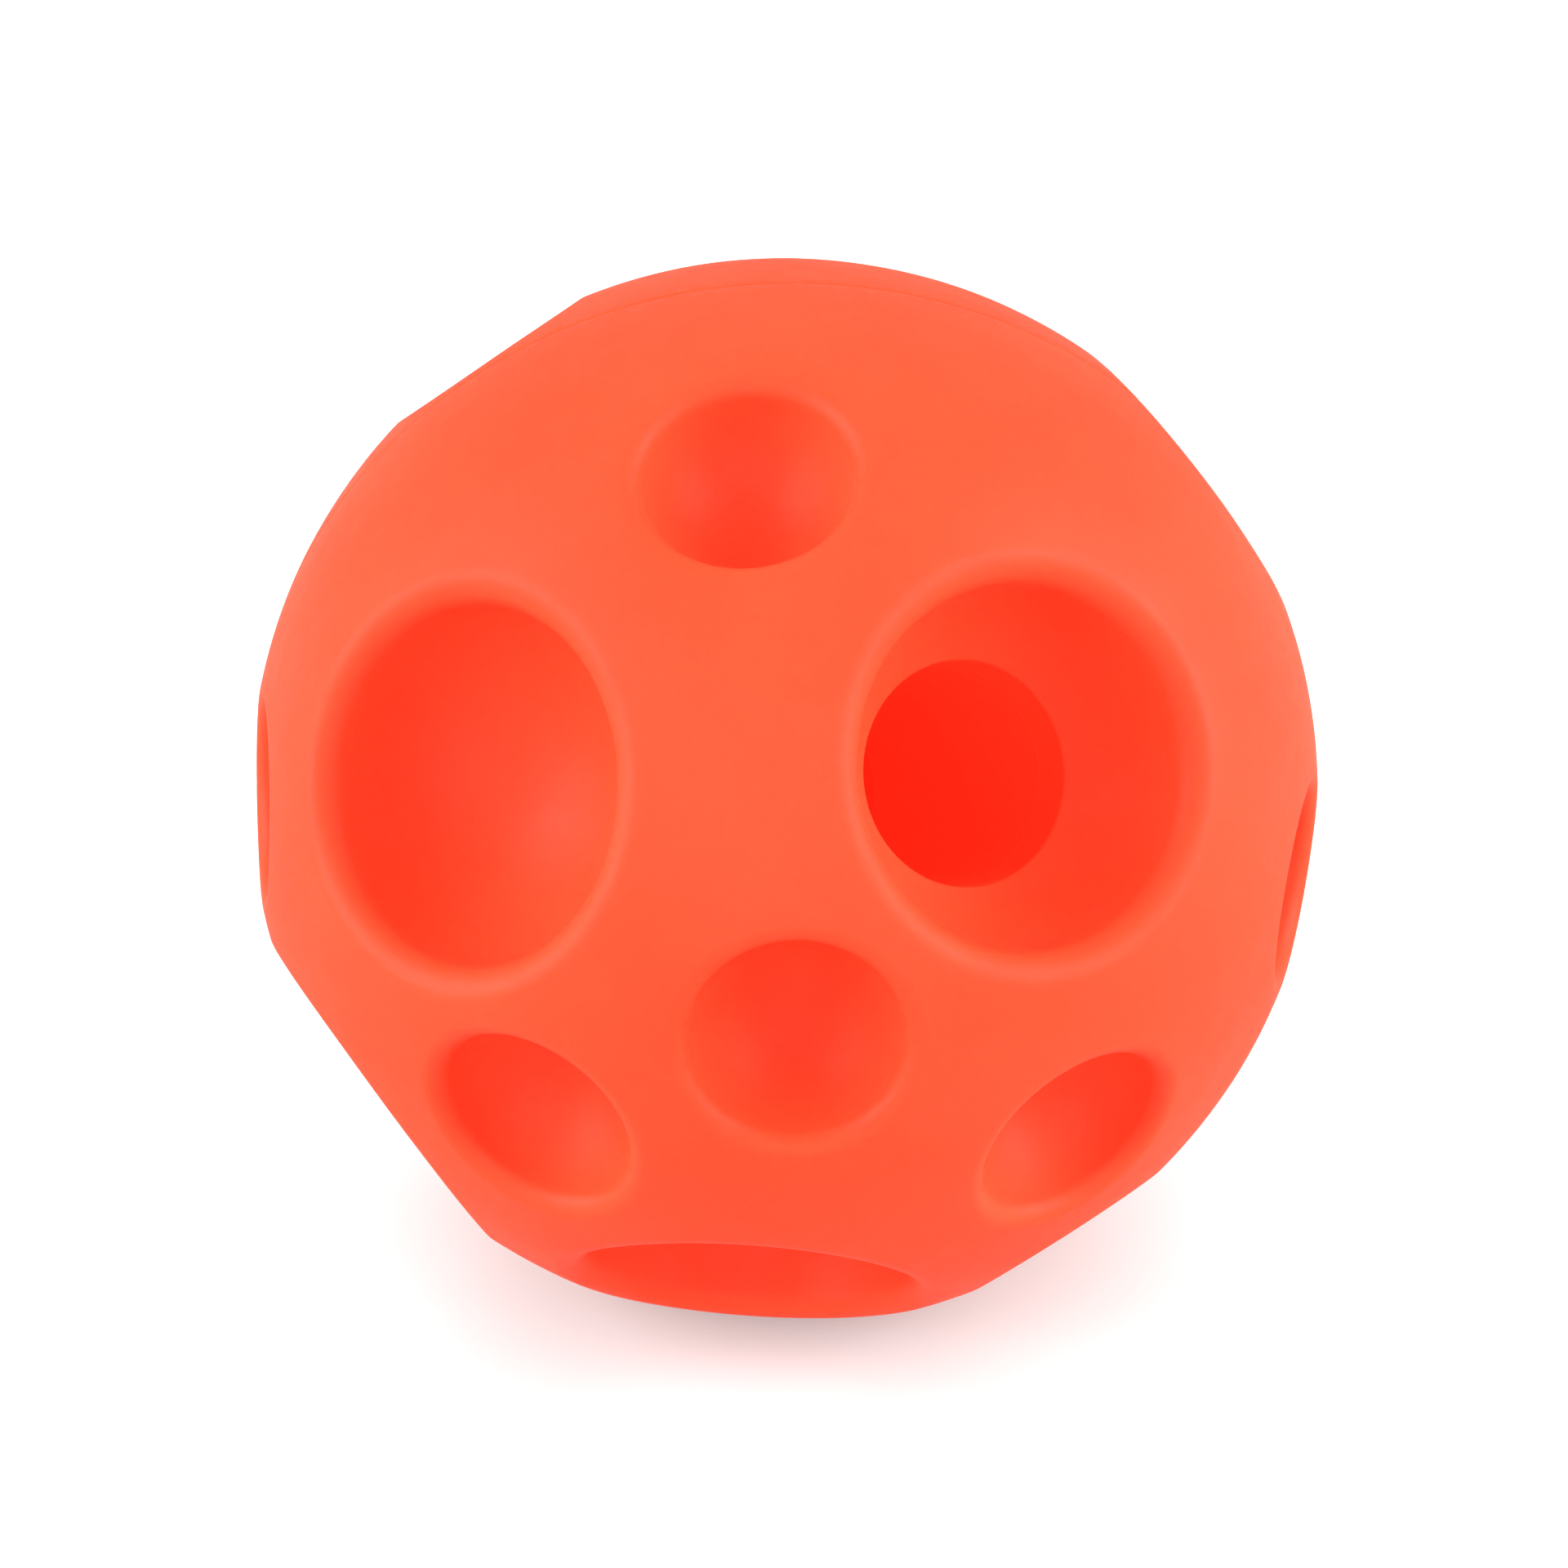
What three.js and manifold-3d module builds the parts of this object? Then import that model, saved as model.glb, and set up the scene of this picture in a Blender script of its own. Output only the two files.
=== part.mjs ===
// Treat ball for dogs: a hollow vinyl ball, moulded as two half shells that are bonded edge to edge.
// Round dimples of two sizes cover it. One large dimple is the port: a tube runs from its floor into
// the hollow, and kibble goes in and falls out through it.
// Millimetres, +Z up. The ball stands on the rim of the large dimple under it, at z = 0. The bond line
// is the XZ plane, the front shell faces -Y, and the origin is under the ball's centre.
import * as THREE from "three";
import { mergeVertices } from "three/addons/utils/BufferGeometryUtils.js";
import Module from "manifold-3d";

const BALL_RADIUS = 50;
const WALL = 3.2;
const BOND_GAP = 0.3;

// A dimple is a round bowl with a rounded lip. centreHeight is how far the bowl's centre lies from the
// ball's. segments and backSegments set how many faces go round the bowl and round its back.
const LARGE = { bowlRadius: 14.6, centreHeight: 47.4, lipRadius: 2.2, segments: 18, backSegments: 12 };
const SMALL = { bowlRadius: 8.6, centreHeight: 49.1, lipRadius: 1.6, segments: 12, backSegments: 8 };
const BOWL_STEPS = 3;
const LIP_STEPS = 2;

// The tube hangs behind the port's floor: a bonded flange, then a plain pipe to the ball's centre.
// TUBE_END_HEIGHT is how far the pipe's inner end lies from that centre.
const PORT = { azimuth: 25, elevation: 29 };
const TUBE_BORE_RADIUS = 9.3;
const TUBE_WALL = 2.2;
const TUBE_END_HEIGHT = 0;
const FLANGE_RADIUS = 14;
const FLANGE_THICKNESS = 2;
const FLANGE_GAP = 0.3;

// Whole degrees: azimuth turns from -Y towards +X, elevation rises from the horizontal.
const LARGE_DIMPLES = [
  PORT,
  { azimuth: -40, elevation: 25 },
  { azimuth: 105, elevation: 34 },
  { azimuth: -64, elevation: -25 },
  { azimuth: -8, elevation: -38 },
  { azimuth: 0, elevation: -90 },
  { azimuth: 175, elevation: -4 },
  { azimuth: -177, elevation: -48 },
  { azimuth: 125, elevation: -38 },
  { azimuth: -120, elevation: -35 },
  { azimuth: -120, elevation: 15 },
];
const SMALL_DIMPLES = [
  { azimuth: -10, elevation: 60 },
  { azimuth: -2, elevation: 6 },
  { azimuth: -28, elevation: -7 },
  { azimuth: 27, elevation: -11 },
  { azimuth: 67, elevation: 0 },
  { azimuth: 40, elevation: -39 },
  { azimuth: -79, elevation: 7 },
  { azimuth: -114, elevation: 54 },
  { azimuth: 110, elevation: -4 },
  { azimuth: 138, elevation: 0 },
  { azimuth: 154, elevation: 24 },
  { azimuth: 156, elevation: 52 },
  { azimuth: -160, elevation: 46 },
  { azimuth: -160, elevation: 18 },
  { azimuth: -150, elevation: -10 },
];

const SPHERE_SEGMENTS = 40;
const CAVITY_SEGMENTS = 24;
const TUBE_SEGMENTS = 16;
const FLANGE_SEAT_STEPS = 2;
const FLANGE_BACK_STEPS = 1;
const OUTSIDE = 10; // how far a cutting solid reaches past the ball

const wasm = await Module();
wasm.setup();

// Three.js geometry to a manifold-3d solid: shared vertices merged, faces that shrank to a line dropped.
function solidFrom(geometry) {
  const bare = geometry.index ? geometry.toNonIndexed() : geometry.clone();
  bare.deleteAttribute("normal");
  bare.deleteAttribute("uv");
  const merged = mergeVertices(bare, 1e-4);
  const triangles = [];
  for (let i = 0; i < merged.index.count; i += 3) {
    const [a, b, c] = [0, 1, 2].map((k) => merged.index.getX(i + k));
    if (a !== b && b !== c && c !== a) {
      triangles.push(a, b, c);
    }
  }
  const vertProperties = new Float32Array(merged.attributes.position.array);
  const triVerts = new Uint32Array(triangles);
  return new wasm.Manifold(new wasm.Mesh({ numProp: 3, vertProperties, triVerts }));
}

function geometryFrom(solid) {
  const mesh = solid.getMesh();
  const geometry = new THREE.BufferGeometry();
  geometry.setAttribute("position", new THREE.BufferAttribute(mesh.vertProperties, 3));
  geometry.setIndex(new THREE.BufferAttribute(mesh.triVerts, 1));
  return geometry;
}

// Turns a geometry built around +Y, outwards, to the direction of a dimple.
function pointTowards(geometry, { azimuth, elevation }) {
  const a = THREE.MathUtils.degToRad(azimuth);
  const e = THREE.MathUtils.degToRad(elevation);
  const outwards = new THREE.Vector3(
    Math.sin(a) * Math.cos(e),
    -Math.cos(a) * Math.cos(e),
    Math.sin(e),
  );
  const turn = new THREE.Quaternion().setFromUnitVectors(new THREE.Vector3(0, 1, 0), outwards);
  return geometry.applyQuaternion(turn);
}

// Points of an arc in a lathe profile: distance from the axis, then height. Angles are from straight down.
function arc(centre, radius, from, to, steps) {
  return Array.from({ length: steps + 1 }, (_, i) => {
    const t = from + ((to - from) * i) / steps;
    return new THREE.Vector2(
      centre.x + radius * Math.sin(t),
      centre.y - radius * Math.cos(t),
    );
  });
}

// Centre of the lip's rounding, which touches the ball's surface from inside and the bowl from outside.
function lipCentre({ bowlRadius, centreHeight, lipRadius }) {
  const fromOrigin = BALL_RADIUS - lipRadius;
  const fromBowl = bowlRadius + lipRadius;
  const height =
    (fromOrigin ** 2 + centreHeight ** 2 - fromBowl ** 2) / (2 * centreHeight);
  return new THREE.Vector2(Math.sqrt(fromOrigin ** 2 - height ** 2), height);
}

function dimpleCutter(size, place) {
  const lip = lipCentre(size);
  const bowl = new THREE.Vector2(0, size.centreHeight);
  const towardsLip = Math.atan2(lip.x, bowl.y - lip.y);
  const lipStart = towardsLip - Math.PI;
  const lipEnd = Math.atan2(lip.x, -lip.y) - 2 * Math.PI;
  const profile = [
    ...arc(bowl, size.bowlRadius, 0, towardsLip, BOWL_STEPS),
    ...arc(lip, size.lipRadius, lipStart, lipEnd, LIP_STEPS).slice(1),
  ];
  profile[0].x = 0;
  const rim = profile.at(-1);
  profile.push(new THREE.Vector2(rim.x, rim.y + OUTSIDE));
  profile.push(new THREE.Vector2(0, rim.y + OUTSIDE));
  return solidFrom(pointTowards(new THREE.LatheGeometry(profile, size.segments), place));
}

// The back of a dimple, which stands one wall thickness inside it, in the hollow.
function dimpleBack(size, place) {
  const bowl = new THREE.Vector2(0, size.centreHeight);
  const profile = arc(bowl, size.bowlRadius + WALL, 0, Math.PI / 2, BOWL_STEPS);
  profile[0].x = 0;
  profile.push(new THREE.Vector2(0, size.centreHeight + OUTSIDE));
  return solidFrom(pointTowards(new THREE.LatheGeometry(profile, size.backSegments), place));
}

function ball(radius, segments) {
  return solidFrom(new THREE.SphereGeometry(radius, segments, segments / 2));
}

// Round hole through the port's floor, as wide as the tube's bore.
function portHole() {
  const length = LARGE.centreHeight - TUBE_END_HEIGHT;
  const hole = new THREE.CylinderGeometry(
    TUBE_BORE_RADIUS,
    TUBE_BORE_RADIUS,
    length,
    TUBE_SEGMENTS,
  );
  hole.translate(0, TUBE_END_HEIGHT + length / 2, 0);
  return solidFrom(pointTowards(hole, PORT));
}

function ballShell() {
  const dimples = [
    ...LARGE_DIMPLES.map((place) => ({ size: LARGE, place })),
    ...SMALL_DIMPLES.map((place) => ({ size: SMALL, place })),
  ];
  let outside = ball(BALL_RADIUS, SPHERE_SEGMENTS);
  let hollow = ball(BALL_RADIUS - WALL, CAVITY_SEGMENTS);
  for (const { size, place } of dimples) {
    outside = outside.subtract(dimpleCutter(size, place));
    hollow = hollow.subtract(dimpleBack(size, place));
  }
  return outside.subtract(hollow).subtract(portHole());
}

// Everything on one side of the bond line: side -1 is the front, +1 the rear.
function halfOf(shell, side) {
  const width = 2 * (BALL_RADIUS + OUTSIDE);
  const half = new THREE.BoxGeometry(width, width, width);
  half.translate(0, side * (width / 2 + BOND_GAP / 2), 0);
  return shell.intersect(solidFrom(half));
}

function dispensingTube() {
  const bowl = new THREE.Vector2(0, LARGE.centreHeight);
  const seat = LARGE.bowlRadius + WALL + FLANGE_GAP;
  const back = seat + FLANGE_THICKNESS;
  const outerRadius = TUBE_BORE_RADIUS + TUBE_WALL;
  const flangeSeat = arc(
    bowl,
    seat,
    Math.asin(TUBE_BORE_RADIUS / seat),
    Math.asin(FLANGE_RADIUS / seat),
    FLANGE_SEAT_STEPS,
  );
  const flangeBack = arc(
    bowl,
    back,
    Math.asin(FLANGE_RADIUS / back),
    Math.asin(outerRadius / back),
    FLANGE_BACK_STEPS,
  );
  const profile = [
    new THREE.Vector2(TUBE_BORE_RADIUS, TUBE_END_HEIGHT),
    new THREE.Vector2(outerRadius, TUBE_END_HEIGHT),
    ...flangeBack.reverse(),
    ...flangeSeat.reverse(),
    new THREE.Vector2(TUBE_BORE_RADIUS, TUBE_END_HEIGHT),
  ];
  return solidFrom(pointTowards(new THREE.LatheGeometry(profile, TUBE_SEGMENTS), PORT));
}

function namedMesh(name, solid, material) {
  const mesh = new THREE.Mesh(geometryFrom(solid), material);
  mesh.name = name;
  return mesh;
}

const vinyl = new THREE.MeshStandardMaterial({ color: 0xff6948, roughness: 0.45, metalness: 0 });
const tubeVinyl = new THREE.MeshStandardMaterial({ color: 0xff3c24, roughness: 0.5, metalness: 0 });

const shell = ballShell();
const treatBall = new THREE.Group();
treatBall.add(namedMesh("front_shell", halfOf(shell, -1), vinyl));
treatBall.add(namedMesh("rear_shell", halfOf(shell, 1), vinyl));
treatBall.add(namedMesh("dispensing_tube", dispensingTube(), tubeVinyl));

// The ball stands on the crest of the bottom dimple's lip.
treatBall.position.z = lipCentre(LARGE).y + LARGE.lipRadius;

export default treatBall;
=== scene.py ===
import math

import bmesh
import bpy
import numpy as np
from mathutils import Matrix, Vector, noise
from mathutils.geometry import delaunay_2d_cdt


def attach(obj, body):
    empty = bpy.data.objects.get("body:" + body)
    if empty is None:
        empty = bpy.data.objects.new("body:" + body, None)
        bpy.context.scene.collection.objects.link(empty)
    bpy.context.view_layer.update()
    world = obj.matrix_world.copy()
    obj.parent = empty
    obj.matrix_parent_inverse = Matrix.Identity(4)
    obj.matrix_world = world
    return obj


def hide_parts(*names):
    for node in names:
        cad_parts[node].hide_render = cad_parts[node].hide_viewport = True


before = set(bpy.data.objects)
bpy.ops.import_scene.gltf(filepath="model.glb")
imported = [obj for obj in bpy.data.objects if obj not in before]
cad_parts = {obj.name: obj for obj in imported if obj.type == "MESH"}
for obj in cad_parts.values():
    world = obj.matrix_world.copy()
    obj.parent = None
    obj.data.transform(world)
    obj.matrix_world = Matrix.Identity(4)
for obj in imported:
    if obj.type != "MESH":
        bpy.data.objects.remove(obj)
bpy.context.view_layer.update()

# The ball's dimensions in metres, as in the CAD model. A dimple is a round bowl with a rounded lip:
# "centre" is how far the bowl's centre is from the ball's, and "segments" how many faces go round it.
BALL_RADIUS = 0.050
WALL = 0.0032
LARGE = {"bowl": 0.0146, "centre": 0.0474, "lip": 0.0022, "segments": 112}
SMALL = {"bowl": 0.0086, "centre": 0.0491, "lip": 0.0016, "segments": 72}

# TUBE_END is how far the tube's inner end is from the ball's centre.
TUBE_BORE = 0.0093
TUBE_WALL = 0.0022
TUBE_END = 0.0
FLANGE_RADIUS = 0.014
FLANGE_THICKNESS = 0.002

# The CAD model has no such roundings, and wider gaps.
TUBE_END_ROUNDING = 0.45 * TUBE_WALL
MOUTH_ROUNDING = 0.0005
FLANGE_GAP = 0.00005
BOND_GAP = 0.00005

# Azimuth from -Y towards +X and elevation, in degrees.
PORT = (25, 29)
LARGE_DIMPLES = [
    PORT, (-40, 25), (105, 34), (-64, -25), (-8, -38), (0, -90),
    (175, -4), (-177, -48), (125, -38), (-120, -35), (-120, 15),
]
SMALL_DIMPLES = [
    (-10, 60), (-2, 6), (-28, -7), (27, -11), (67, 0), (40, -39), (-79, 7), (-114, 54),
    (110, -4), (138, 0), (154, 24), (156, 52), (-160, 46), (-160, 18), (-150, -10),
]
DIMPLES = [(LARGE, place) for place in LARGE_DIMPLES] + [(SMALL, place) for place in SMALL_DIMPLES]

# The bond between the two halves, square to Y, shows as a shallow V-shaped groove.
BOND_AXIS = np.array([0.0, 1.0, 0.0])
HALF_SPACE_REACH = 1.5 * BALL_RADIUS
BOND_GROOVE_WIDTH = 0.0005
BOND_GROOVE_DEPTH = 0.00014
GROOVE_SEGMENTS = 720

# Moulded vinyl sets a little uneven: how far, and how many waves there are in a metre.
UNEVENNESS = 0.00007
LONG_WAVES = 45
SHORT_WAVES = 110

# How finely the surfaces are meshed.
SURFACE_SPACING = 0.0013
LIP_STEPS = 14
BOWL_STEPS = 26
MOUTH_STEPS = 6
HOLE_STEPS = 8
HOLLOW_SEGMENTS = 160
HOLLOW_STEPS = 90
HOLLOW_POLE = math.radians(2)
BACK_SEGMENTS = 48
BACK_STEPS = 16
BACK_POLE = math.radians(4)
TUBE_SEGMENTS = 112
TUBE_STEPS = {"seat": 8, "back": 4, "end": 6, "bore": 9}
SAME_POINT = 0.000004
FLAT_TOLERANCE = 1e-7
SHARP_ANGLE = math.radians(38)
NEARLY_UPRIGHT = 0.9

# Round each dimple's rim lies a ring of points, at RING_PLACE spacings from the rim. Points of it nearer
# than RING_CLEAR to another rim are left out, and so are points of the even spread within SPREAD_CLEAR.
RING_PLACE = 0.8
RING_CLEAR = 0.7
SPREAD_CLEAR = 1.4

# Owners of mesh points that are on no dimple's rim.
ON_PLAIN = -1
IN_DIMPLE = -2

# Painted glow: the vinyl glows red by itself, standing in for light that has come through the ball's
# wall, most of all in the hollow.
SHELL_LOOK = {
    "low_colour": (1.0, 0.081, 0.028),
    "high_colour": (1.0, 0.090, 0.033),
    "painted_glow_colour": (1.0, 0.010, 0.005),
    "painted_glow": 0.15,
}
# The hollow's and the tube's copy of the vinyl: its darker colour is painted shade, and it has more
# painted glow.
INNER_PAINTED_LOOK = {
    "low_colour": (1.0, 0.056, 0.016),
    "high_colour": (1.0, 0.064, 0.019),
    "painted_glow_colour": (1.0, 0.055, 0.020),
    "painted_glow": 0.25,
}

# The table as the camera sees it and as it lights the ball.
TABLE_REACH = 1.1
TABLE_SEEN_COLOUR = 0.84
TABLE_SEEN_GLOW = 0.36
TABLE_CAST_COLOUR = 0.38
TABLE_CAST_GLOW = 0.12
TABLE_GLOW_COLOUR = (0.55, 1, 1)
# Painted shadow on the table close round the ball: how dark it gets, and how far it reaches.
TABLE_PAINTED_SHADE = 0.58
TABLE_PAINTED_SHADE_REACH = 0.018

LIGHT_DISTANCE = 1.5
LIGHT_WIDTH = 1.25

CAMERA_AZIMUTH = -3.1
CAMERA_ELEVATION = 29.5
CAMERA_DISTANCE = 4.5 * BALL_RADIUS


def lip_centre(size):
    """Centre of the lip's rounding, as (distance from the dimple's axis, height)."""
    from_origin = BALL_RADIUS - size["lip"]
    from_bowl = size["bowl"] + size["lip"]
    centre = size["centre"]
    height = (from_origin**2 + centre**2 - from_bowl**2) / (2 * centre)
    return math.sqrt(from_origin**2 - height**2), height


# The ball stands on the crest of the bottom dimple's lip.
CENTRE = Vector((0, 0, lip_centre(LARGE)[1] + LARGE["lip"]))


def direction(azimuth, elevation):
    """Unit vector towards an azimuth and elevation."""
    a = math.radians(azimuth)
    e = math.radians(elevation)
    return np.array([math.sin(a) * math.cos(e), -math.cos(a) * math.cos(e), math.sin(e)])


def arc(centre, radius, start, end, steps):
    """Points of an arc in a profile. Angles turn from straight down, outwards from the axis."""
    angles = np.linspace(start, end, steps + 1)
    return [(centre[0] + radius * math.sin(t), centre[1] - radius * math.cos(t)) for t in angles]


def lip_and_bowl(size, bowl_end):
    """From the ball's surface over the lip and down the bowl, as far as the angle bowl_end."""
    lip = lip_centre(size)
    to_lip = math.atan2(lip[0], size["centre"] - lip[1])
    outside = math.atan2(lip[0], -lip[1]) - 2 * math.pi
    over_lip = arc(lip, size["lip"], outside, to_lip - math.pi, LIP_STEPS)
    down_bowl = arc((0, size["centre"]), size["bowl"], to_lip, bowl_end, BOWL_STEPS)
    return over_lip + down_bowl[1:]


def dimple_profile(size):
    """The lip and the whole bowl, without the point on the axis."""
    return lip_and_bowl(size, 0)[:-1]


def port_profile():
    """The port's bowl ends at the tube's mouth, and the hole goes on into the hollow."""
    centre = LARGE["centre"]
    edge_x = TUBE_BORE + MOUTH_ROUNDING
    edge_y = centre - math.sqrt((LARGE["bowl"] + MOUTH_ROUNDING) ** 2 - edge_x**2)
    to_edge = math.atan2(edge_x, centre - edge_y)
    edge = (edge_x, edge_y)
    round_edge = arc(edge, MOUTH_ROUNDING, to_edge - math.pi, -math.pi / 2, MOUTH_STEPS)
    hole_end = centre - LARGE["bowl"] - WALL - 2 * MOUTH_ROUNDING
    hole = [(TUBE_BORE, y) for y in np.linspace(edge_y, hole_end, HOLE_STEPS + 1)[1:]]
    return lip_and_bowl(LARGE, to_edge) + round_edge[1:] + hole


def basis(axis):
    """Two directions square to axis, and axis."""
    helper = np.array([0, 0, 1]) if abs(axis[2]) < NEARLY_UPRIGHT else np.array([0, 1, 0])
    first = np.cross(helper, axis)
    first /= np.linalg.norm(first)
    return first, np.cross(axis, first), axis


def rings(profile, axis, segments):
    """The profile's points turned round an axis: array of rings of points."""
    first, second, axis = basis(axis)
    turn = np.linspace(0, 2 * math.pi, segments, endpoint=False)
    around = np.outer(np.cos(turn), first) + np.outer(np.sin(turn), second)
    return np.array([s * around + h * axis for s, h in profile])


def new_object(name, points, faces):
    """A mesh object whose faces all point outwards."""
    mesh = bpy.data.meshes.new(name)
    mesh.from_pydata([tuple(p) for p in points], [], faces)
    mesh.validate()
    shape = bmesh.new()
    shape.from_mesh(mesh)
    bmesh.ops.recalc_face_normals(shape, faces=shape.faces)
    shape.to_mesh(mesh)
    shape.free()
    made = bpy.data.objects.new(name, mesh)
    bpy.context.scene.collection.objects.link(made)
    return made


def band(low, high, count):
    """Quads between two rings of points, given the index of the first point of each."""
    return [
        (low + i, low + (i + 1) % count, high + (i + 1) % count, high + i) for i in range(count)
    ]


def turned_body(name, profile, axis, segments, closed):
    """A profile turned round an axis: a closed section, or one that ends on the axis at both ends."""
    points = rings(profile, axis, segments).reshape(-1, 3)
    count = len(profile)
    faces = []
    for ring in range(count if closed else count - 1):
        faces += band(ring * segments, (ring + 1) % count * segments, segments)
    if not closed:
        low, high = points[:segments].mean(0), points[-segments:].mean(0)
        points = np.vstack([points, low, high])
        last = (count - 1) * segments
        bottom, top = len(points) - 2, len(points) - 1
        faces += [(bottom, (i + 1) % segments, i) for i in range(segments)]
        faces += [(top, last + i, last + (i + 1) % segments) for i in range(segments)]
    return new_object(name, points, faces)


def spread_points(radius, spacing):
    """Evenly spread points on a sphere."""
    count = int(4 * math.pi * radius**2 / (spacing**2 * math.sqrt(3) / 2))
    k = np.arange(count) + 0.5
    height = 1 - 2 * k / count
    turn = k * math.pi * (1 + math.sqrt(5))
    flat = np.sqrt(1 - height**2)
    return np.column_stack([flat * np.cos(turn), flat * np.sin(turn), height]) * radius


def uneven(points):
    """Moves points outwards or inwards a little, as soft moulded vinyl sets."""
    shifts = [
        noise.noise(Vector(p) * LONG_WAVES) + 0.5 * noise.noise(Vector(p) * SHORT_WAVES)
        for p in points
    ]
    lengths = np.linalg.norm(points, axis=1)
    return points * (1 + UNEVENNESS * np.array(shifts) / lengths)[:, None]


def dimple_patches():
    """Lip and bowl of every dimple: points, faces, the edges of the rims, and the points' owners.

    A rim's points are owned by their dimple, by number. A last point on the axis closes each patch.
    """
    points, faces, rim_edges, owners = [], [], [], []
    for number, (size, place) in enumerate(DIMPLES):
        axis = direction(*place)
        segments = size["segments"]
        profile = port_profile() if place == PORT else dimple_profile(size)
        start = len(owners)
        points.append(rings(profile, axis, segments).reshape(-1, 3))
        owners += [number] * segments + [IN_DIMPLE] * (len(profile) - 1) * segments
        rim_edges += [(start + i, start + (i + 1) % segments) for i in range(segments)]
        for ring in range(len(profile) - 1):
            faces += band(start + ring * segments, start + (ring + 1) * segments, segments)
        middle = len(owners)
        depth = profile[-1][1] if place == PORT else size["centre"] - size["bowl"]
        points.append(np.array([axis * depth]))
        owners.append(IN_DIMPLE)
        last = middle - segments
        faces += [(last + i, last + (i + 1) % segments, middle) for i in range(segments)]
    return np.vstack(points), faces, rim_edges, owners


def plain_points():
    """Points between the dimples: a ring close round each rim, then an even spread."""
    spacing = SURFACE_SPACING / BALL_RADIUS
    axes = np.array([direction(*place) for _size, place in DIMPLES])
    reaches = np.array([math.atan2(*dimple_profile(size)[0]) for size, _place in DIMPLES])
    close = []
    for (size, _place), axis, reach in zip(DIMPLES, axes, reaches):
        around = reach + RING_PLACE * spacing
        ring = [(BALL_RADIUS * math.sin(around), BALL_RADIUS * math.cos(around))]
        close.append(rings(ring, axis, size["segments"])[0])
    spread = spread_points(BALL_RADIUS, SURFACE_SPACING)
    kept = []
    for chosen, clear in ((np.vstack(close), RING_CLEAR), (spread, SPREAD_CLEAR)):
        angles = np.arccos(np.clip(chosen @ axes.T / BALL_RADIUS, -1, 1)) - reaches
        kept.append(chosen[(angles > clear * spacing).all(1)])
    return np.vstack(kept)


def plain_faces(points, owners, rim_edges):
    """Triangles between the dimples' rims.

    They are found on a flat map of the ball, projected from the middle of the bottom dimple, so that on
    the map all else lies inside that dimple's rim. Triangles inside any other rim are left out.
    """
    on_surface = np.nonzero(owners != IN_DIMPLE)[0]
    unit = points[on_surface] / BALL_RADIUS
    flat = [Vector(p) for p in unit[:, :2] / (1 + unit[:, 2:])]
    local = {int(v): i for i, v in enumerate(on_surface)}
    flat_edges = [(local[a], local[b]) for a, b in rim_edges]
    result = delaunay_2d_cdt(flat, flat_edges, [], 0, FLAT_TOLERANCE)
    triangles, sources = result[2:4]
    original = [int(on_surface[source[0]]) for source in sources]
    faces = []
    for corners in triangles:
        face = [original[c] for c in corners]
        face_owners = {int(owners[v]) for v in face}
        if len(face_owners) > 1 or face_owners == {ON_PLAIN}:
            faces.append(face)
    return faces


def outer_body():
    """The ball as a full solid with all its dimples. Its surface is one fine, even mesh."""
    points, faces, rim_edges, owners = dimple_patches()
    plain = plain_points()
    points = np.vstack([points, plain])
    owners = np.array(owners + [ON_PLAIN] * len(plain))
    faces += plain_faces(points, owners, rim_edges)
    return new_object("outer", uneven(points), faces)


def combine(target, cutter, operation):
    """Cuts target with cutter, which is then gone."""
    modifier = target.modifiers.new("combine", "BOOLEAN")
    modifier.object = cutter
    modifier.operation = operation
    modifier.solver = "MANIFOLD"
    graph = bpy.context.evaluated_depsgraph_get()
    mesh = bpy.data.meshes.new_from_object(target.evaluated_get(graph))
    target.modifiers.clear()
    target.data = mesh
    bpy.data.objects.remove(cutter)


def hollow_body():
    """The space inside: a ball with the backs of the dimples standing in it."""
    inner = BALL_RADIUS - WALL
    profile = arc((0, 0), inner, HOLLOW_POLE, math.pi - HOLLOW_POLE, HOLLOW_STEPS)
    hollow = turned_body("hollow", profile, BOND_AXIS, HOLLOW_SEGMENTS, closed=False)
    for size, place in DIMPLES:
        bowl_centre = (0, size["centre"])
        back = arc(bowl_centre, size["bowl"] + WALL, BACK_POLE, math.pi / 2, BACK_STEPS)
        back.append((back[-1][0], BALL_RADIUS))
        cutter = turned_body("back", back, direction(*place), BACK_SEGMENTS, closed=False)
        combine(hollow, cutter, "DIFFERENCE")
    return hollow


def bond_groove():
    """A ring whose section is a shallow V, which marks the bond line on the ball's surface."""
    half = BOND_GROOVE_WIDTH / 2
    inner = BALL_RADIUS - BOND_GROOVE_DEPTH
    outer = BALL_RADIUS + 2 * BOND_GROOVE_DEPTH
    slope = half * (outer - inner) / BOND_GROOVE_DEPTH
    profile = [(inner, 0), (outer, slope), (outer, -slope)]
    return turned_body("groove", profile, BOND_AXIS, GROOVE_SEGMENTS, closed=True)


def half_space(side):
    """A box over everything on one side of the bond plane."""
    reach = HALF_SPACE_REACH
    near = side * BOND_GAP / 2
    far = side * reach
    corners = [(x, y, z) for y in (near, far) for x in (-reach, reach) for z in (-reach, reach)]
    faces = [(0, 1, 3, 2), (4, 6, 7, 5), (0, 4, 5, 1), (2, 3, 7, 6), (0, 2, 6, 4), (1, 5, 7, 3)]
    return new_object("half_space", corners, faces)


def copy_of(source, name):
    made = bpy.data.objects.new(name, source.data.copy())
    bpy.context.scene.collection.objects.link(made)
    return made


def clean(mesh):
    """Merges points that a cut left on top of each other, and drops the faces that this empties."""
    shape = bmesh.new()
    shape.from_mesh(mesh)
    bmesh.ops.remove_doubles(shape, verts=shape.verts, dist=SAME_POINT)
    bmesh.ops.triangulate(shape, faces=[f for f in shape.faces if len(f.verts) > 4])
    bmesh.ops.dissolve_degenerate(shape, edges=shape.edges, dist=SAME_POINT)
    shape.to_mesh(mesh)
    shape.free()


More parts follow.
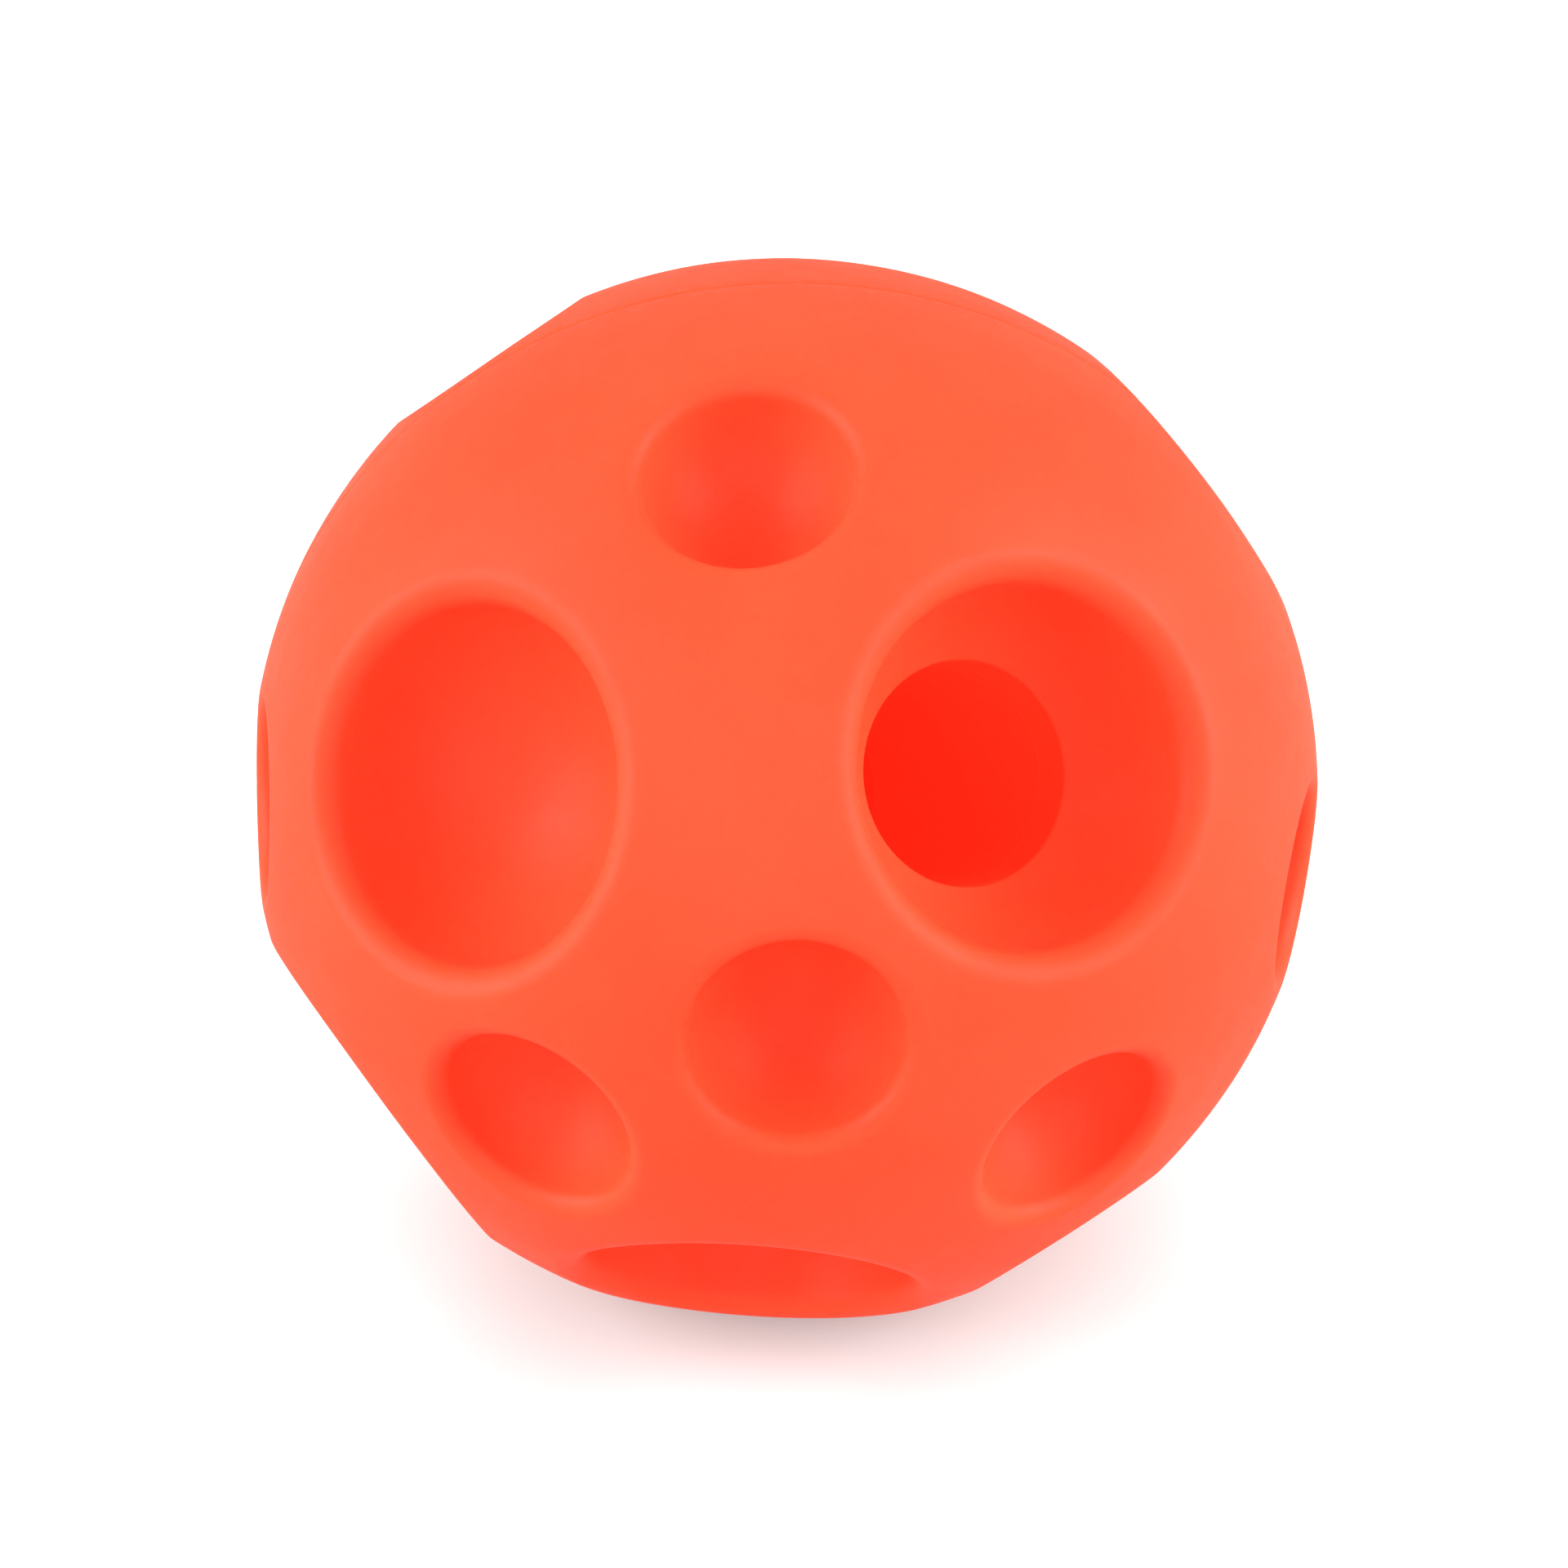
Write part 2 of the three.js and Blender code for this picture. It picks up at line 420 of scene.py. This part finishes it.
def faces_the_hollow(mesh):
    """For each face, whether it is on the hollow's side of the wall or in the port's hole."""
    centres = np.empty(3 * len(mesh.polygons))
    mesh.polygons.foreach_get("center", centres)
    centres = centres.reshape(-1, 3)
    outside = np.linalg.norm(centres, axis=1) > BALL_RADIUS - WALL / 2
    for size, place in DIMPLES:
        skin = MOUTH_ROUNDING / 2 if place == PORT else WALL / 2
        bowl_centre = direction(*place) * size["centre"]
        outside |= np.linalg.norm(centres - bowl_centre, axis=1) < size["bowl"] + skin
    return ~outside


def finish_piece(piece, node, material):
    """Moves the piece's mesh up to the ball's place, shades it, puts it under the root body and hides
    its CAD node.
    """
    for vertex in piece.data.vertices:
        vertex.co += CENTRE
    piece.data.polygons.foreach_set("use_smooth", [True] * len(piece.data.polygons))
    piece.data.set_sharp_from_angle(angle=SHARP_ANGLE)
    piece.data.materials.clear()
    piece.data.materials.append(material)
    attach(piece, "root")
    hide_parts(node)


def ball_halves(skin, inside):
    """Both half shells: skin is the material of the ball's surface, inside that of the hollow."""
    shell = outer_body()
    combine(shell, hollow_body(), "DIFFERENCE")
    combine(shell, bond_groove(), "DIFFERENCE")
    for node, name, side in (("front_shell", "front_half", -1), ("rear_shell", "rear_half", 1)):
        half = copy_of(shell, name)
        combine(half, half_space(side), "INTERSECT")
        clean(half.data)
        facing = faces_the_hollow(half.data)
        finish_piece(half, node, skin)
        half.data.materials.append(inside)
        half.data.polygons.foreach_set("material_index", facing.astype(int))
    bpy.data.objects.remove(shell)


def tube_profile():
    """The flange that lies against the port's floor, and the pipe, all edges rounded."""
    bowl_centre = (0, LARGE["centre"])
    seat = LARGE["bowl"] + WALL + FLANGE_GAP
    back = seat + FLANGE_THICKNESS
    outer = TUBE_BORE + TUBE_WALL
    rounding = TUBE_END_ROUNDING
    end = TUBE_END + rounding
    to_bore, to_rim = math.asin(TUBE_BORE / seat), math.asin(FLANGE_RADIUS / seat)
    from_rim, to_pipe = math.asin(FLANGE_RADIUS / back), math.asin(outer / back)
    top = arc(bowl_centre, seat, to_bore, to_rim, TUBE_STEPS["seat"])
    under = arc(bowl_centre, back, from_rim, to_pipe, TUBE_STEPS["back"])
    outer_end = arc((outer - rounding, end), rounding, math.pi / 2, 0, TUBE_STEPS["end"])
    inner_end = arc((TUBE_BORE + rounding, end), rounding, 0, -math.pi / 2, TUBE_STEPS["end"])
    inside = [(TUBE_BORE, y) for y in np.linspace(end, top[0][1], TUBE_STEPS["bore"] + 1)[1:-1]]
    return top + under + outer_end + inner_end + inside


def dispensing_tube(material):
    tube = turned_body("tube", tube_profile(), direction(*PORT), TUBE_SEGMENTS, closed=True)
    finish_piece(tube, "dispensing_tube", material)


def link(tree, source, output, target, socket):
    tree.links.new(source.outputs[output], target.inputs[socket])


def noise_node(tree, coordinates, scale, detail, roughness):
    """Noise that lies still in the piece, with scale waves in a metre."""
    node = tree.nodes.new("ShaderNodeTexNoise")
    node.inputs["Scale"].default_value = scale
    node.inputs["Detail"].default_value = detail
    node.inputs["Roughness"].default_value = roughness
    link(tree, coordinates, "Object", node, "Vector")
    return node


def soft_vinyl(name, low_colour, high_colour, painted_glow_colour, painted_glow):
    """Satin vinyl: light scatters in it, and its skin has fine grain, soft mottling and faint scuffs.

    The emission is painted light: the vinyl glows evenly, standing in for light that has come through
    the wall of the ball and leaves the vinyl again.
    """
    material = bpy.data.materials.new(name)
    material.use_nodes = True
    tree = material.node_tree
    shader = tree.nodes["Principled BSDF"]
    shader.inputs["Subsurface Weight"].default_value = 0.5
    shader.inputs["Subsurface Radius"].default_value = (1.0, 0.22, 0.12)
    shader.inputs["Subsurface Scale"].default_value = 0.004
    shader.inputs["IOR"].default_value = 1.5
    shader.inputs["Specular IOR Level"].default_value = 0.12
    # Painted glow: an even emission lights the vinyl from within.
    shader.inputs["Emission Color"].default_value = (*painted_glow_colour, 1)
    shader.inputs["Emission Strength"].default_value = painted_glow
    coordinates = tree.nodes.new("ShaderNodeTexCoord")

    mottle = noise_node(tree, coordinates, scale=55, detail=4, roughness=0.55)
    tint = tree.nodes.new("ShaderNodeValToRGB")
    tint.color_ramp.elements[0].position = 0.35
    tint.color_ramp.elements[0].color = (*low_colour, 1)
    tint.color_ramp.elements[1].position = 0.65
    tint.color_ramp.elements[1].color = (*high_colour, 1)
    link(tree, mottle, "Fac", tint, "Fac")
    link(tree, tint, "Color", shader, "Base Color")

    scuffs = noise_node(tree, coordinates, scale=160, detail=6, roughness=0.7)
    gloss = tree.nodes.new("ShaderNodeMapRange")
    gloss.inputs["From Min"].default_value = 0.3
    gloss.inputs["From Max"].default_value = 0.7
    gloss.inputs["To Min"].default_value = 0.40
    gloss.inputs["To Max"].default_value = 0.52
    link(tree, scuffs, "Fac", gloss, "Value")
    link(tree, gloss, "Result", shader, "Roughness")

    grain = noise_node(tree, coordinates, scale=2600, detail=3, roughness=0.6)
    fine = tree.nodes.new("ShaderNodeBump")
    fine.inputs["Strength"].default_value = 0.12
    fine.inputs["Distance"].default_value = 0.00004
    link(tree, grain, "Fac", fine, "Height")
    peel = noise_node(tree, coordinates, scale=480, detail=2, roughness=0.5)
    coarse = tree.nodes.new("ShaderNodeBump")
    coarse.inputs["Strength"].default_value = 0.10
    coarse.inputs["Distance"].default_value = 0.00006
    link(tree, peel, "Fac", coarse, "Height")
    link(tree, fine, "Normal", coarse, "Normal")
    link(tree, coarse, "Normal", shader, "Normal")
    return material


def lit_table():
    """A white table lit from below. Its shadow is pale, and a painted shadow makes it dark only close
    round the ball.
    """
    material = bpy.data.materials.new("lit_table")
    material.use_nodes = True
    tree = material.node_tree
    shader = tree.nodes["Principled BSDF"]
    shader.inputs["Roughness"].default_value = 0.9
    shader.inputs["Specular IOR Level"].default_value = 0.0
    shader.inputs["Emission Color"].default_value = (*TABLE_GLOW_COLOUR, 1)
    # Painted shadow: ambient occlusion darkens the table's colour and glow close round the ball.
    painted_shadow = tree.nodes.new("ShaderNodeAmbientOcclusion")
    painted_shadow.samples = 24
    painted_shadow.inputs["Distance"].default_value = TABLE_PAINTED_SHADE_REACH
    shade = tree.nodes.new("ShaderNodeMapRange")
    shade.inputs["To Min"].default_value = TABLE_PAINTED_SHADE
    shade.inputs["To Max"].default_value = 1.0
    link(tree, painted_shadow, "AO", shade, "Value")
    rays = tree.nodes.new("ShaderNodeLightPath")
    for seen, cast, target in (
        (TABLE_SEEN_COLOUR, TABLE_CAST_COLOUR, "Base Color"),
        (TABLE_SEEN_GLOW, TABLE_CAST_GLOW, "Emission Strength"),
    ):
        shaded = tree.nodes.new("ShaderNodeMath")
        shaded.operation = "MULTIPLY"
        shaded.inputs[1].default_value = seen
        link(tree, shade, "Result", shaded, "Value")
        level = tree.nodes.new("ShaderNodeMapRange")
        level.inputs["To Min"].default_value = cast
        link(tree, rays, "Is Camera Ray", level, "Value")
        link(tree, shaded, "Value", level, "To Max")
        link(tree, level, "Result", shader, target)
    return material


def floor():
    reach = TABLE_REACH
    corners = [(-reach, -reach, 0), (reach, -reach, 0), (reach, reach, 0), (-reach, reach, 0)]
    ground = new_object("floor", corners, [(0, 1, 2, 3)])
    ground.data.materials.append(lit_table())


def softbox(name, azimuth, elevation, power, reflects=True):
    """A square area light that faces the ball. One that doesn't reflect leaves no sheen on it."""
    data = bpy.data.lights.new(name, "AREA")
    data.shape = "RECTANGLE"
    data.size = LIGHT_WIDTH
    data.size_y = LIGHT_WIDTH
    data.energy = power
    lamp = bpy.data.objects.new(name, data)
    bpy.context.scene.collection.objects.link(lamp)
    towards = Vector(direction(azimuth, elevation))
    lamp.location = CENTRE + towards * LIGHT_DISTANCE
    lamp.rotation_euler = towards.to_track_quat("Z", "Y").to_euler()
    lamp.visible_glossy = reflects


def light_tent(ambient, seen):
    """White all round: ambient is what lights the ball, seen is what the camera sees behind it."""
    world = bpy.data.worlds.new("tent")
    bpy.context.scene.world = world
    world.use_nodes = True
    tree = world.node_tree
    background = tree.nodes["Background"]
    background.inputs["Color"].default_value = (1, 1, 1, 1)
    rays = tree.nodes.new("ShaderNodeLightPath")
    strength = tree.nodes.new("ShaderNodeMapRange")
    strength.inputs["To Min"].default_value = ambient
    strength.inputs["To Max"].default_value = seen
    link(tree, rays, "Is Camera Ray", strength, "Value")
    link(tree, strength, "Result", background, "Strength")


def camera():
    """The view: from a little left of the front, well above, and close."""
    data = bpy.data.cameras.new("camera")
    data.lens = 53.8
    data.sensor_width = 36
    data.shift_y = 0.005
    view = bpy.data.objects.new("camera", data)
    bpy.context.scene.collection.objects.link(view)
    towards = Vector(direction(CAMERA_AZIMUTH, CAMERA_ELEVATION))
    view.location = CENTRE + towards * CAMERA_DISTANCE
    view.rotation_euler = towards.to_track_quat("Z", "Y").to_euler()
    bpy.context.scene.camera = view


camera()
bpy.context.scene.view_settings.view_transform = "Standard"
bpy.context.scene.cycles.max_bounces = 24
bpy.context.scene.cycles.diffuse_bounces = 20
light_tent(ambient=0.38, seen=1.0)
softbox("left_softbox", azimuth=-80, elevation=25, power=28)
softbox("right_softbox", azimuth=76, elevation=25, power=28)
softbox("front_softbox", azimuth=0, elevation=20, power=7)
softbox("back_softbox", azimuth=180, elevation=14, power=13, reflects=False)
floor()

shell_vinyl = soft_vinyl("shell_vinyl", **SHELL_LOOK)
tube_vinyl = soft_vinyl("tube_vinyl", **INNER_PAINTED_LOOK)
inside_vinyl = soft_vinyl("inside_vinyl", **INNER_PAINTED_LOOK)
ball_halves(shell_vinyl, inside_vinyl)
dispensing_tube(tube_vinyl)
